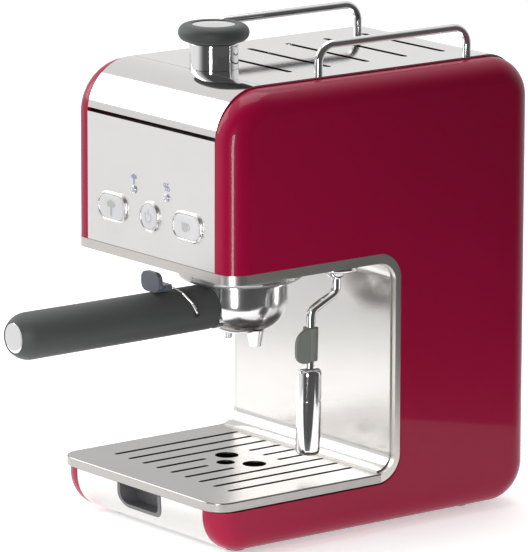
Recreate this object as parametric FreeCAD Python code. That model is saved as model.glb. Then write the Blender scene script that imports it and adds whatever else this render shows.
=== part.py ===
import FreeCAD, Part
import math
import os
from FreeCAD import Vector as V

# Pump espresso machine. Millimetres. +X is the right-hand side seen from the front,
# +Y runs to the back, +Z is up. While it is built, y = 0 is the front face of the head and
# z = 0 is the surface the feet stand on. export() moves the origin to the middle of the
# whole machine's box, handle included, at the base.

# ---- overall sizes
WIDTH = 180.0
DEPTH = 262.0            # head front to the rear
DECK_Z = 317.5           # top of the cup-warming deck
HEAD_HEIGHT = 122.8      # underside rim of the side panels' head to the deck

# ---- casing
FOOT_H = 3.5
FOOT_R = 6.5
PANEL_X = 18.7           # each painted side panel is this wide, and its outer edge is rounded
PANEL_ROUND = 16.0
PANEL_WALL = 2.5
PANEL_STEP = 1.5         # the steel deck stands this far above the painted panels
R_FRONT_TOP = 36.0
R_REAR_TOP = 28.0
R_REAR_BOTTOM = 28.0
R_FRONT_BOTTOM = 27.0
BASE_FRONT = -10.0       # the base stands this far in front of the head
SHEET = 1.2              # steel sheet
GAP = 0.15               # between fitted sheets
LIP_Z_BELOW_DECK = 31.3  # lower edge of the deck sheet's front lip
SHADOW_GAP = 2.7         # between that lip and the fascia
FASCIA_SET_BACK = 0.0

# ---- cavity between head and base
FRAME_TOP = 6.7
FRAME_BACK = 4.8
CAVITY_DEPTH = 140.5     # head front to the cavity's back wall
CAVITY_R_OUT = 19.0
CAVITY_R_TOP = 14.0
CAVITY_R_LOW = 12.0
CAVITY_SHEET = 1.0

# ---- drip tray
GRILLE_TOP = 41.5
GRILLE_RIM = 6.3
GRILLE_FRONT = -12.5
GRILLE_CORNER = 15.0
GRILLE_SHEET = 1.2
BASE_GAP = 1.2           # between the grille's rim and the base panels
SLOT_W = 3.6
SLOT_PITCH = 16.0
SLOT_COUNT = 9
SLOT_FRONT = 17.0
SLOT_REAR = 124.0
HOLE_R_SIDE = 8.2
HOLE_R_MID = 6.4
HOLE_CLEAR = 9.5         # bars left between the middle holes and the slots
BASIN_WALL = 2.0
PULL_W = 49.0            # finger pull in the tray's front
PULL_DROP = 17.0
PULL_R = 10.0
PULL_RIM = 3.2
PULL_DEPTH = 15.0

# ---- deck, rails, steam knob
DECK_SLOTS = 5
DECK_SLOT_L = 90.0
DECK_SLOT_W = 4.6
DECK_SLOT_FIRST = 84.5
DECK_SLOT_PITCH = 33.4
RAIL_ROD_R = 2.9
RAIL_H = 21.6
RAIL_BEND = 12.0
RAIL_FRONT = 96.6
RAIL_REAR = 226.2
RAIL_INSET = 11.8        # rail centre inside the painted panels' inner edge
KNOB_Y = 53.6
KNOB_COLUMN_R = 16.75
KNOB_COLUMN_H = 18.0
KNOB_R = 24.2
KNOB_THICK = 11.6
KNOB_DISC_R = 14.8
SPINDLE_R = 4.0

# ---- buttons and lamps
BUTTON_SPACING = 42.0
BUTTON_Z_ABOVE_FLANGE = 26.7
OVAL_W = 32.0
OVAL_H = 20.0
ROUND_R = 10.7
BEZEL_WALL = 1.6
BEZEL_PROUD = 1.7
BUTTON_TRAVEL = 2.0
BUTTON_CLEAR = 0.15
LAMP_SPACING = 36.6
LAMP_ABOVE_BUTTON = 15.9
LAMP_R = 2.8
LAMP_PROUD = 0.9

# ---- brew group and filter holder
GROUP_Y = 77.0
COLLAR_DROP = 17.5       # below the cavity's ceiling
COLLAR_WALL = 3.6
TAB_H = 3.1
TAB_CLEAR = 0.3
TAB_SPAN = 70.0
EAR_SPAN = 40.0
UNLOCK_TURN = 50.0
BOWL_R = 32.4
BOWL_DROP = 55.0         # from the ceiling to the bowl's lowest point
BOWL_ROUND = 23.0
BOWL_WALL = 2.6
RIM_EXTRA = 3.6
SPOUT_X = 16.3
SPOUT_TOP_R = 6.2
SPOUT_END_R = 3.9
SPOUT_DROP = 8.3
BASKET_DEPTH = 24.0

# ---- handle
HANDLE_R = 15.6
HANDLE_FRONT_R = 16.1
HANDLE_END = -113.5      # y of the handle's flat end
HANDLE_CAP_R = 10.8
HANDLE_CAP_RISE = 0.75   # the cap's dome
HANDLE_DROP = 34.6       # axis below the cavity's ceiling
HANDLE_NOSE = 12.0
BAIL_WIRE_R = 0.9
BAIL_PIVOT_Y = 27.5

# ---- steam wand
WAND_X = 60.0
WAND_Y = 112.3
WAND_R = 3.15
WAND_REACH = 21.5
WAND_BEND_Z = 22.5       # first bend below the ceiling
WAND_SLOPE_Z = 10.5
WAND_CLEAR = 13.5        # sleeve's end above the grille
SLEEVE_R = 8.4
SLEEVE_L = 61.0
GRIP_R = 5.25
GRIP_L = 22.5
FLANGE_R = 14.7
FLANGE_DROP = 7.7
DOME_R = 7.7

# ---- tank
TANK_W = 128.0
TANK_DEPTH = 70.0
TANK_WALL = 2.4
TANK_FOOT_Z = 58.0
TANK_HEAD_ROOM = 72.0    # deck to the tank's rim

# ---- worked out
HALF = WIDTH / 2.0
INNER = HALF - PANEL_X
FLANGE_TOP = DECK_Z - HEAD_HEIGHT
CEILING = FLANGE_TOP - FRAME_TOP
LIP_Z = DECK_Z - LIP_Z_BELOW_DECK
FASCIA_TOP = LIP_Z - SHADOW_GAP
RIM_LOW = GRILLE_TOP - GRILLE_RIM
BASE_TOP = RIM_LOW - BASE_GAP
BACK_OUT = CAVITY_DEPTH + FRAME_BACK
GRILLE_REAR = CAVITY_DEPTH - CAVITY_R_LOW
BUTTON_Z = FLANGE_TOP + BUTTON_Z_ABOVE_FLANGE
COLLAR_LOW = CEILING - COLLAR_DROP
RIM_R = BOWL_R + RIM_EXTRA
TAB_INNER_R = RIM_R + 0.5
COLLAR_IN_R = TAB_INNER_R + 2.6
COLLAR_R = COLLAR_IN_R + COLLAR_WALL
EAR_R = COLLAR_IN_R - 0.4
TAB_TOP = COLLAR_LOW + TAB_H
RIM_TOP = TAB_TOP + 4.0
BOWL_LOW = CEILING - BOWL_DROP
BOWL_IN_R = BOWL_R - BOWL_WALL
HANDLE_Z = CEILING - HANDLE_DROP
HANDLE_BACK = GROUP_Y - BOWL_R + 3.0
WAND_STRAIGHT_Z = CEILING - WAND_BEND_Z - WAND_SLOPE_Z
SLEEVE_LOW = GRILLE_TOP + WAND_CLEAR
SLEEVE_TOP = SLEEVE_LOW + SLEEVE_L
TANK_Y1 = DEPTH - 1.5
TANK_Y0 = TANK_Y1 - TANK_DEPTH
TANK_TOP = DECK_Z - TANK_HEAD_ROOM
DIVIDER_Y = TANK_Y0 - 4.0
BASIN_FLOOR = FOOT_H + 5.0
MACHINE_FRONT = HANDLE_END - HANDLE_CAP_RISE
Y_MIDDLE = (MACHINE_FRONT + DEPTH) / 2.0
GAP_MOVE = 0.3           # clearance round pieces that slide or lift

os.makedirs("parts", exist_ok=True)


def export(name, *shapes):
    """One node: its solids, moved so that the origin is the middle of the base."""
    moved = []
    for shape in shapes:
        piece = shape.copy()
        piece.translate(V(0, -Y_MIDDLE, 0))
        moved.append(piece)
    whole = moved[0] if len(moved) == 1 else Part.makeCompound(moved)
    whole.exportStep("parts/" + name + ".step")
    print(name, len(whole.Solids), round(whole.Volume), whole.isValid())


def box(x0, x1, y0, y1, z0, z1):
    return Part.makeBox(x1 - x0, y1 - y0, z1 - z0, V(x0, y0, z0))


def cyl(radius, base, axis, length):
    return Part.makeCylinder(radius, length, V(*base), V(*axis))


def ring(outer, inner, base, axis, length):
    return cyl(outer, base, axis, length).cut(cyl(inner, base, axis, length))


def rounded_wire(corners):
    """Closed wire through (point, radius) corners; a radius of 0 leaves the corner sharp."""
    count = len(corners)
    trimmed = []
    for i in range(count):
        before = corners[i - 1][0]
        point, radius = corners[i]
        after = corners[(i + 1) % count][0]
        into = before.sub(point).normalize()
        out = after.sub(point).normalize()
        if radius <= 0:
            trimmed.append((point, None, point))
            continue
        half = into.getAngle(out) / 2.0
        reach = radius / math.tan(half)
        bisector = into.add(out).normalize()
        centre = point.add(bisector * (radius / math.sin(half)))
        middle = centre.sub(bisector * radius)
        trimmed.append((point.add(into * reach), middle, point.add(out * reach)))
    edges = []
    for i in range(count):
        start, middle, end = trimmed[i]
        if middle is not None:
            edges.append(Part.Arc(start, middle, end).toShape())
        following = trimmed[(i + 1) % count][0]
        if end.distanceToPoint(following) > 1e-6:
            edges.append(Part.LineSegment(end, following).toShape())
    return Part.Wire(edges)


def side_slab(y0, y1, z0, z1, radii, x0, x1):
    """Slab seen from the side: radii at front-bottom, front-top, rear-top, rear-bottom."""
    corners = [(V(x0, y0, z0), radii[0]), (V(x0, y0, z1), radii[1]),
               (V(x0, y1, z1), radii[2]), (V(x0, y1, z0), radii[3])]
    return Part.Face(rounded_wire(corners)).extrude(V(x1 - x0, 0, 0))


def plan_slab(x0, x1, y0, y1, radii, z0, z1):
    """Slab seen from above: radii at front-left, front-right, rear-right, rear-left."""
    corners = [(V(x0, y0, z0), radii[0]), (V(x1, y0, z0), radii[1]),
               (V(x1, y1, z0), radii[2]), (V(x0, y1, z0), radii[3])]
    return Part.Face(rounded_wire(corners)).extrude(V(0, 0, z1 - z0))


def front_slab(xc, zc, width, height, radius, y0, y1):
    """Slab seen from the front, one corner radius."""
    x0, x1 = xc - width / 2.0, xc + width / 2.0
    z0, z1 = zc - height / 2.0, zc + height / 2.0
    corners = [(V(x0, y0, z0), radius), (V(x1, y0, z0), radius),
               (V(x1, y0, z1), radius), (V(x0, y0, z1), radius)]
    return Part.Face(rounded_wire(corners)).extrude(V(0, y1 - y0, 0))


def slot_z(x, y0, y1, width, z0, z1):
    """Slot along Y with round ends."""
    return plan_slab(x - width / 2, x + width / 2, y0, y1, [width / 2 - 0.001] * 4, z0, z1)


def turned(points, x, y):
    """Solid of revolution about the vertical through (x, y) from (radius, z) points."""
    corners = []
    for item in points:
        radius = item[2] if len(item) > 2 else 0
        corners.append((V(x + item[0], y, item[1]), radius))
    return Part.Face(rounded_wire(corners)).revolve(V(x, y, 0), V(0, 0, 1), 360)


def tube(points, radius, bend):
    """Round bar along straight runs joined by tangent arcs of one bend radius."""
    pts = [V(*p) for p in points]
    edges = []
    start = pts[0]
    for i in range(1, len(pts) - 1):
        into = pts[i - 1].sub(pts[i]).normalize()
        out = pts[i + 1].sub(pts[i]).normalize()
        half = into.getAngle(out) / 2.0
        reach = bend / math.tan(half)
        bisector = into.add(out).normalize()
        middle = pts[i].add(bisector * (bend / math.sin(half) - bend))
        enter = pts[i].add(into * reach)
        leave = pts[i].add(out * reach)
        edges.append(Part.LineSegment(start, enter).toShape())
        edges.append(Part.Arc(enter, middle, leave).toShape())
        start = leave
    edges.append(Part.LineSegment(start, pts[-1]).toShape())
    path = Part.Wire(edges)
    circle = Part.Wire(Part.makeCircle(radius, pts[0], pts[1].sub(pts[0])))
    return path.makePipeShell([circle], True, True)


def sector(inner, outer, centre, z0, z1, middle, span):
    """Part of a ring about a vertical axis; angles in degrees from +X."""
    full = Part.makeCylinder(outer, z1 - z0, V(centre[0], centre[1], z0), V(0, 0, 1), span)
    full.rotate(V(centre[0], centre[1], 0), V(0, 0, 1), middle - span / 2.0)
    return full.cut(cyl(inner, (centre[0], centre[1], z0), (0, 0, 1), z1 - z0))


def mirror_x(shape):
    return shape.mirror(V(0, 0, 0), V(1, 0, 0))


# ------------------------------------------------------------------ casing

def flank(front, inset, x_inner):
    """Side-panel block with its outer edges rounded over, drawn in by inset."""
    radii = [R_FRONT_BOTTOM - inset, R_FRONT_TOP - inset,
             R_REAR_TOP - inset, R_REAR_BOTTOM - inset]
    x_outer = HALF - inset
    top = DECK_Z - PANEL_STEP
    block = side_slab(front + inset, DEPTH - inset, FOOT_H + inset, top - inset,
                      radii, x_inner, x_outer)
    edges = []
    for edge in block.Edges:
        b = edge.BoundBox
        if b.XMin > x_outer - 0.01:
            edges.append(edge)
    return block.makeFillet(PANEL_ROUND - inset, edges)


def cavity_block(grow, x0, x1):
    """The C-shaped bay's outline, grown outwards by grow, open to the front."""
    radius = CAVITY_R_OUT + grow
    return side_slab(BASE_FRONT - 40, BACK_OUT + grow, BASE_TOP - grow, FLANGE_TOP + grow,
                     [0, 0, radius, radius], x0, x1)


def flank_with_bay(inset, x_inner):
    """Head, column and base of one side panel."""
    far = HALF + 5
    join = BACK_OUT - CAVITY_R_OUT - 5
    upper = flank(0, inset, x_inner).cut(cavity_block(inset, x_inner - 1, far))
    upper = upper.cut(box(x_inner - 1, far, BASE_FRONT - 60, join, 0, FLANGE_TOP - 20))
    lower = flank(BASE_FRONT, inset, x_inner)
    lower = lower.common(box(x_inner - 1, far, BASE_FRONT - 60, join, 0, BASE_TOP - inset))
    return upper.fuse(lower).removeSplitter()


def side_panel():
    shell = flank_with_bay(0, INNER)
    hollow = flank_with_bay(PANEL_WALL, INNER - 2)
    return shell.cut(hollow)


def wrap_section(inset, x0, x1):
    """The deck sheet's side view, drawn in by inset."""
    radii = [0, R_FRONT_TOP - inset, R_REAR_TOP - inset, 0]
    low = DECK_Z - R_FRONT_TOP - 10
    section = side_slab(inset, DEPTH - inset, low, DECK_Z - inset, radii, x0, x1)
    return section.cut(box(x0 - 1, x1 + 1, -5, DEPTH + 5, low - 1, LIP_Z))


def rail_feet():
    x = INNER - RAIL_INSET
    return [(s * x, y) for s in (-1, 1) for y in (RAIL_FRONT, RAIL_REAR)]


def top_wrap():
    x = INNER - GAP
    sheet = wrap_section(0, -x, x).cut(wrap_section(SHEET, -x - 1, x + 1))
    z0, z1 = DECK_Z - 5, DECK_Z + 5
    for i in range(DECK_SLOTS):
        y = DECK_SLOT_FIRST + i * DECK_SLOT_PITCH
        sheet = sheet.cut(plan_slab(-DECK_SLOT_L / 2, DECK_SLOT_L / 2, y - DECK_SLOT_W / 2,
                                    y + DECK_SLOT_W / 2, [DECK_SLOT_W / 2 - 0.001] * 4, z0, z1))
    sheet = sheet.cut(cyl(SPINDLE_R + 2, (0, KNOB_Y, z0), (0, 0, 1), 10))
    for x, y in rail_feet():
        sheet = sheet.cut(cyl(RAIL_ROD_R + 0.05, (x, y, z0), (0, 0, 1), 10))
    return sheet


def cup_rail(side):
    x = side * (INNER - RAIL_INSET)
    top = DECK_Z + RAIL_H - RAIL_ROD_R
    foot = DECK_Z - 9
    return tube([(x, RAIL_FRONT, foot), (x, RAIL_FRONT, top), (x, RAIL_REAR, top),
                 (x, RAIL_REAR, foot)], RAIL_ROD_R, RAIL_BEND)


def rail_nuts():
    nuts = []
    for x, y in rail_feet():
        top = DECK_Z - SHEET - GAP
        nuts.append(hexagon(5.2, x, y, top - 4, top).cut(
            cyl(RAIL_ROD_R + 0.05, (x, y, top - 5), (0, 0, 1), 6)))
    return nuts


def hexagon(across_half, x, y, z0, z1):
    r = across_half / math.cos(math.pi / 6)
    pts = [V(x + r * math.cos(a), y + r * math.sin(a), z0)
           for a in [math.radians(30 + 60 * k) for k in range(6)]]
    return Part.Face(Part.makePolygon(pts + [pts[0]])).extrude(V(0, 0, z1 - z0))


def button_sites():
    """Centre x and whether the button is an oval."""
    return [("left", -BUTTON_SPACING, True), ("power", 0.0, False),
            ("right", BUTTON_SPACING, True)]


def button_slab(x, oval, shrink, y0, y1):
    if oval:
        height = OVAL_H - 2 * shrink
        return front_slab(x, BUTTON_Z, OVAL_W - 2 * shrink, height, height * 0.44, y0, y1)
    return cyl(ROUND_R - shrink, (x, y0, BUTTON_Z), (0, 1, 0), y1 - y0)


def fascia():
    x = INNER - GAP
    y0, y1 = FASCIA_SET_BACK, FASCIA_SET_BACK + SHEET
    plate = box(-x, x, y0, y1, FLANGE_TOP + GAP, FASCIA_TOP)
    hem = box(-x, x, y1, y1 + 9, FASCIA_TOP - SHEET, FASCIA_TOP)
    sheet = plate.fuse(hem)
    for _, bx, oval in button_sites():
        sheet = sheet.cut(button_slab(bx, oval, BEZEL_WALL - 0.6, y0 - 1, y1 + 1))
    for side in (-1, 1):
        sheet = sheet.cut(cyl(LAMP_R, (side * LAMP_SPACING / 2, y0 - 1,
                                       BUTTON_Z + LAMP_ABOVE_BUTTON), (0, 1, 0), 6))
    return sheet.removeSplitter()


def button_bezel(x, oval):
    """Chrome ring: a wall that stands proud, and a spigot through the fascia."""
    y_face = FASCIA_SET_BACK
    proud = button_slab(x, oval, 0, y_face - BEZEL_PROUD, y_face)
    spigot = button_slab(x, oval, BEZEL_WALL - 0.6 + 0.05, y_face, y_face + SHEET + 2)
    hole = button_slab(x, oval, BEZEL_WALL, y_face - BEZEL_PROUD - 1, y_face + SHEET + 3)
    return proud.fuse(spigot).cut(hole)


def button_cap(x, oval):
    """Pale cap with a stem that reaches the switch."""
    y_face = FASCIA_SET_BACK - BEZEL_PROUD + 0.5
    cap = button_slab(x, oval, BEZEL_WALL + BUTTON_CLEAR, y_face, y_face + 7)
    stem = cyl(2.0, (x, y_face + 7, BUTTON_Z), (0, 1, 0), 5)
    return cap.fuse(stem)


def board_y():
    stem_end = FASCIA_SET_BACK - BEZEL_PROUD + 0.5 + 12
    return stem_end + BUTTON_TRAVEL + 0.3 + 4.0


def switches():
    """One push switch behind each button, soldered to the board."""
    y = board_y()
    return [box(x - 3.2, x + 3.2, y - 4.0, y, BUTTON_Z - 3.2, BUTTON_Z + 3.2)
            for _, x, _ in button_sites()]


def control_board():
    y = board_y()
    x = BUTTON_SPACING + 16
    board = box(-x, x, y, y + 1.6, BUTTON_Z - 16, BUTTON_Z + LAMP_ABOVE_BUTTON + 8)
    relay = box(-34, -18, y + 1.6, y + 13, BUTTON_Z - 8, BUTTON_Z + 8)
    return board.fuse(relay)


def lamp_lenses():
    z = BUTTON_Z + LAMP_ABOVE_BUTTON
    lenses = []
    for side in (-1, 1):
        x = side * LAMP_SPACING / 2
        body = cyl(LAMP_R - 0.05, (x, FASCIA_SET_BACK - LAMP_PROUD, z), (0, 1, 0), 6)
        lenses.append(body)
    return lenses


# ------------------------------------------------------------------ cavity

def cavity_section(shrink, r_top, r_low, x0, x1):
    """Inside of the bay, drawn in by shrink, open to the front."""
    return side_slab(BASE_FRONT - 60, CAVITY_DEPTH - shrink, GRILLE_TOP + shrink,
                     CEILING - shrink, [0, 0, r_top - shrink, r_low - shrink], x0, x1)


def group_hole_r():
    return BOWL_R + 3.0


def cavity_frame():
    """Satin surround: underside of the head, back of the bay and the turn at its foot."""
    x = HALF - 0.4
    outer = side_slab(0, BACK_OUT - GAP, RIM_LOW, FLANGE_TOP - GAP,
                      [0, 0, CAVITY_R_OUT, CAVITY_R_OUT], -x, x)
    body = outer.cut(cavity_section(0, CAVITY_R_TOP, CAVITY_R_LOW, -x - 1, x + 1))
    body = body.cut(box(-x - 1, x + 1, -5, GRILLE_REAR + GAP_MOVE, 0, CEILING - 40))
    edges = []
    for edge in body.Edges:
        b = edge.BoundBox
        if abs(b.XMin) > x - 0.01 and b.XMax - b.XMin < 0.01 and b.YMax < 0.01:
            edges.append(edge)
    body = body.makeFillet(PANEL_ROUND - 1, edges)
    body = body.cut(cyl(group_hole_r(), (0, GROUP_Y, CEILING - 5), (0, 0, 1), 20))
    body = body.cut(cyl(4.5, (WAND_X, WAND_Y, CEILING - 5), (0, 0, 1), 20))
    return body


def cavity_sheet():
    """Polished lining under the head and down the back wall."""
    x = HALF - 5
    outer = cavity_section(0.05, CAVITY_R_TOP, CAVITY_R_LOW, -x, x)
    inner = cavity_section(CAVITY_SHEET, CAVITY_R_TOP, CAVITY_R_LOW, -x - 1, x + 1)
    sheet = outer.cut(inner)
    front = CAVITY_DEPTH - CAVITY_R_TOP
    sheet = sheet.cut(box(-x - 1, x + 1, -100, GRILLE_REAR + GAP_MOVE, 0, CEILING - 30))
    sheet = sheet.cut(box(-x - 1, x + 1, -100, front, CEILING - 30, CEILING + 5))
    return sheet.cut(cyl(FLANGE_R + 0.2, (WAND_X, WAND_Y, CEILING - 9), (0, 0, 1), 20))


# ------------------------------------------------------------------ base and rear

def base_pan():
    x = INNER - GAP
    z1 = FOOT_H + 2.2
    floor = box(-x, x, R_FRONT_BOTTOM + BASE_FRONT + 0.4, DEPTH - R_REAR_BOTTOM, FOOT_H, z1)
    curb = side_slab(DEPTH - 60, DEPTH, FOOT_H, TANK_FOOT_Z - 0.5, [0, 0, 0, R_REAR_BOTTOM],
                     -x, x)
    curb = curb.cut(side_slab(DEPTH - 61, DEPTH - 2, FOOT_H + 2, TANK_FOOT_Z,
                              [0, 0, 0, R_REAR_BOTTOM - 2], -x - 1, x + 1))
    curb = curb.cut(box(-x - 1, x + 1, 0, DEPTH - R_REAR_BOTTOM - 5, 0, TANK_FOOT_Z))
    shelf = box(-x, x, DIVIDER_Y + 1.5, DEPTH - 1, TANK_FOOT_Z - 2.5, TANK_FOOT_Z - 0.5)
    pan = floor.fuse(curb).fuse(shelf).removeSplitter()
    return pan.cut(cyl(7.0, (inlet_x(), DEPTH - 6, inlet_z()), (0, 1, 0), 12))


def inlet_x():
    return -INNER + 22


def inlet_z():
    return (FOOT_H + R_REAR_BOTTOM + TANK_FOOT_Z) / 2.0


def power_inlet():
    """Gland in the rear curb where the supply cord enters."""
    x, z = inlet_x(), inlet_z()
    flange = cyl(9.5, (x, DEPTH - 4.5, z), (0, 1, 0), 2.4)
    neck = cyl(6.9, (x, DEPTH - 2.1, z), (0, 1, 0), 2.1)
    bore = cyl(3.6, (x, DEPTH - 6, z), (0, 1, 0), 12)
    return flange.fuse(neck).cut(bore)


def rear_panel():
    """Fixed cover across the back, between the tank and the deck sheet."""
    x = INNER - GAP
    z0 = TANK_TOP + 14
    cover = box(-x, x, DEPTH - 2.5, DEPTH - 0.5, z0, LIP_Z - GAP)
    roof = box(-x, x, DIVIDER_Y + 1.2 + GAP, DEPTH - 2.5, z0, z0 + 2)
    return cover.fuse(roof).removeSplitter()


def chassis():
    """Steel bulkhead in front of the tank, turned over at its foot."""
    x = INNER - GAP
    wall = box(-x, x, DIVIDER_Y, DIVIDER_Y + 1.2, FOOT_H + 2.4, LIP_Z - 20)
    foot = box(-x, x, DIVIDER_Y - 14, DIVIDER_Y, FOOT_H + 2.4, FOOT_H + 3.6)
    plate = wall.fuse(foot)
    return plate.cut(cyl(8.1, (0, DIVIDER_Y - 5, seat_z()), (0, 1, 0), 12))


def seat_z():
    return TANK_FOOT_Z + 16


def feet():
    y_sites = [BASE_FRONT + R_FRONT_BOTTOM + 8, DEPTH - R_REAR_BOTTOM - 14]
    pads = []
    for x in (-INNER + 10, INNER - 10):
        for y in y_sites:
            pads.append(cyl(FOOT_R, (x, y, 0), (0, 0, 1), FOOT_H))
    return pads


def case_screws():
    """Screws that hold the base pan to the side panels' feet blocks."""
    screws = []
    for x in (-INNER + 10, INNER - 10):
        for y in (DEPTH - 110, DEPTH - 60):
            screws.append(cyl(3.5, (x, y, FOOT_H - 1.9), (0, 0, 1), 1.9))
    return screws


# ------------------------------------------------------------------ water tank

def water_tank():
    half = TANK_W / 2
    outer = plan_slab(-half, half, TANK_Y0, TANK_Y1, [8, 8, 6, 6], TANK_FOOT_Z, TANK_TOP)
    w = TANK_WALL
    inner = plan_slab(-half + w, half - w, TANK_Y0 + w, TANK_Y1 - w, [6, 6, 4, 4],
                      TANK_FOOT_Z + w, TANK_TOP + 1)
    shell = outer.cut(inner)
    plate = box(-INNER + GAP_MOVE, INNER - GAP_MOVE, TANK_Y1 - w, TANK_Y1,
                TANK_FOOT_Z, TANK_TOP + 12)
    shell = shell.fuse(plate)
    pull_z = TANK_TOP - 26
    pocket = front_slab(0, pull_z, 62, 26, 8, TANK_Y1 - 14, TANK_Y1 + 1)
    pocket_wall = front_slab(0, pull_z, 62 + 2 * w, 26 + 2 * w, 8 + w, TANK_Y1 - 14 - w, TANK_Y1)
    shell = shell.fuse(pocket_wall).cut(pocket)
    boss = cyl(10, (0, TANK_Y0 - 0.001, seat_z()), (0, 1, 0), 6)
    shell = shell.fuse(boss).cut(cyl(7.1, (0, TANK_Y0 - 2, seat_z()), (0, 1, 0), 12))
    for side in (-1, 1):
        x = side * (half - 6)
        ear = box(x - 2, x + 2, TANK_Y0 + w, TANK_Y0 + 12, TANK_TOP, TANK_TOP + 5.5)
        hinge = cyl(1.6, (x - 3, TANK_Y0 + 7, TANK_TOP + 3), (1, 0, 0), 6)
        shell = shell.fuse(ear.cut(hinge))
        shell = shell.fuse(box(x - 2, x + 2, TANK_Y0, TANK_Y0 + 12, TANK_TOP - 3, TANK_TOP))
    return shell.removeSplitter()


def tank_valve():
    """Check valve that plugs the tank into its seat."""
    y = TANK_Y0
    body = cyl(7.0, (0, y + 0.5, seat_z()), (0, 1, 0), 7)
    nose = cyl(5.0, (0, y - 14, seat_z()), (0, 1, 0), 14.5)
    return body.fuse(nose).cut(cyl(2.0, (0, y - 15, seat_z()), (0, 1, 0), 30))


def tank_lid():
    half = TANK_W / 2
    plate = plan_slab(-half + 10, half - 10, TANK_Y0 + 2, TANK_Y1 - TANK_WALL - 1,
                      [3, 3, 3, 3], TANK_TOP + 2 * GAP_MOVE, TANK_TOP + 2.6)
    lug_y, lug_z = TANK_Y0 + 7, TANK_TOP + 3
    bar = cyl(1.5, (-half + 3.5, lug_y, lug_z), (1, 0, 0), TANK_W - 7)
    knob = box(-14, 14, TANK_Y1 - 16, TANK_Y1 - 12, TANK_TOP + 2.6, TANK_TOP + 7)
    return plate.fuse(bar).fuse(knob).removeSplitter()


def tank_seat():
    """Socket on the bulkhead with the suction spigot behind it."""
    y = DIVIDER_Y
    flange = cyl(13, (0, y - 3, seat_z()), (0, 1, 0), 2.9)
    barrel = cyl(8.0, (0, y - 14, seat_z()), (0, 1, 0), 15)
    spigot = cyl(3.0, (0, y - 20, seat_z()), (0, 1, 0), 7)
    bore = cyl(5.06, (0, y - 13, seat_z()), (0, 1, 0), 20)
    small = cyl(1.6, (0, y - 28, seat_z()), (0, 1, 0), 20)
    return flange.fuse(barrel).fuse(spigot).cut(bore).cut(small)


# ------------------------------------------------------------------ water path

def pump_xyz():
    return (INNER - 30, (BACK_OUT + DIVIDER_Y) / 2.0, FOOT_H + 40)


def pump():
    """Vibration pump: coil block round a tube with a spigot at each end."""
    x, y, z = pump_xyz()
    coil = plan_slab(x - 17, x + 17, y - 16, y + 16, [4] * 4, z + 28, z + 66)
    barrel = cyl(9.5, (x, y, z + 8), (0, 0, 1), 84)
    low = cyl(3.0, (x, y, z), (0, 0, 1), 10)
    high = cyl(3.0, (x, y, z + 90), (0, 0, 1), 10)
    return coil.fuse(barrel).fuse(low).fuse(high).removeSplitter()


def suction_hose():
    x, y, z = pump_xyz()
    seat = (0, DIVIDER_Y - 20, seat_z())
    turn = 6.0
    drop_y = seat[1] - 2 - turn
    pts = [seat, (0, drop_y, seat_z()), (0, drop_y, z - 18), (x, y, z - 18), (x, y, z)]
    return tube(pts, 3.0, turn)


def boiler_low():
    return FLANGE_TOP + GAP


def boiler_dims():
    """Outer radius, body height, lid height."""
    return BOWL_R + 4.0, 27.0, 8.0


def pressure_hose():
    x, y, z = pump_xyz()
    r, body, _ = boiler_dims()
    port_z = boiler_low() + body * 0.5
    turn = 8.0
    pts = [(x, y, z + 100), (x, y, port_z), (0, y, port_z), (0, GROUP_Y + r + 6, port_z)]
    return tube(pts, 2.0, turn)


def boiler_body():
    """Cast lower half with the water space and an inlet spigot at the rear."""
    r, body, _ = boiler_dims()
    z0 = boiler_low()
    cup = cyl(r, (0, GROUP_Y, z0), (0, 0, 1), body)
    flange = cyl(r + 7, (0, GROUP_Y, z0 + body - 6), (0, 0, 1), 6)
    space = cyl(r - 5, (0, GROUP_Y, z0 + 6), (0, 0, 1), body)
    spigot = cyl(2.8, (0, GROUP_Y + r - 2, z0 + body * 0.5), (0, 1, 0), 8)
    feed = cyl(1.4, (0, GROUP_Y, z0 - 1), (0, 0, 1), 10)
    shape = cup.fuse(flange).fuse(spigot).cut(space).cut(feed)
    shape = shape.cut(cyl(1.4, (0, GROUP_Y + r - 8, z0 + body * 0.5), (0, 1, 0), 30))
    for x, y in boiler_screw_sites():
        shape = shape.cut(cyl(2.05, (x, y, z0 + body - 8), (0, 0, 1), 10))
    return shape


def boiler_screw_sites():
    r, _, _ = boiler_dims()
    sites = []
    for k in range(6):
        a = math.radians(60 * k)
        sites.append(((r + 3.5) * math.cos(a), GROUP_Y + (r + 3.5) * math.sin(a)))
    return sites


def element_sites():
    r, _, _ = boiler_dims()
    return [(-(r - 12), GROUP_Y), (r - 12, GROUP_Y)]


def boiler_cover():
    r, body, lid = boiler_dims()
    z0 = boiler_low() + body
    cover = cyl(r + 7, (0, GROUP_Y, z0), (0, 0, 1), 4).fuse(
        cyl(r - 2, (0, GROUP_Y, z0), (0, 0, 1), lid))
    for x, y in boiler_screw_sites():
        cover = cover.cut(cyl(2.05, (x, y, z0 - 1), (0, 0, 1), 10))
    for x, y in element_sites():
        cover = cover.cut(cyl(3.55, (x, y, z0 - 1), (0, 0, 1), 20))
    cover = cover.cut(cyl(1.5, (0, KNOB_Y, z0 - 1), (0, 0, 1), 20))
    return cover.removeSplitter()


def boiler_screws():
    _, body, _ = boiler_dims()
    z1 = boiler_low() + body + 4
    screws = []
    for x, y in boiler_screw_sites():
        shank = cyl(2.0, (x, y, z1 - 10), (0, 0, 1), 10)
        head = cyl(3.5, (x, y, z1), (0, 0, 1), 3.2)
        socket = hexagon(1.5, x, y, z1 + 1.4, z1 + 4)
        screws.append(shank.fuse(head).cut(socket))
    return screws


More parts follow.
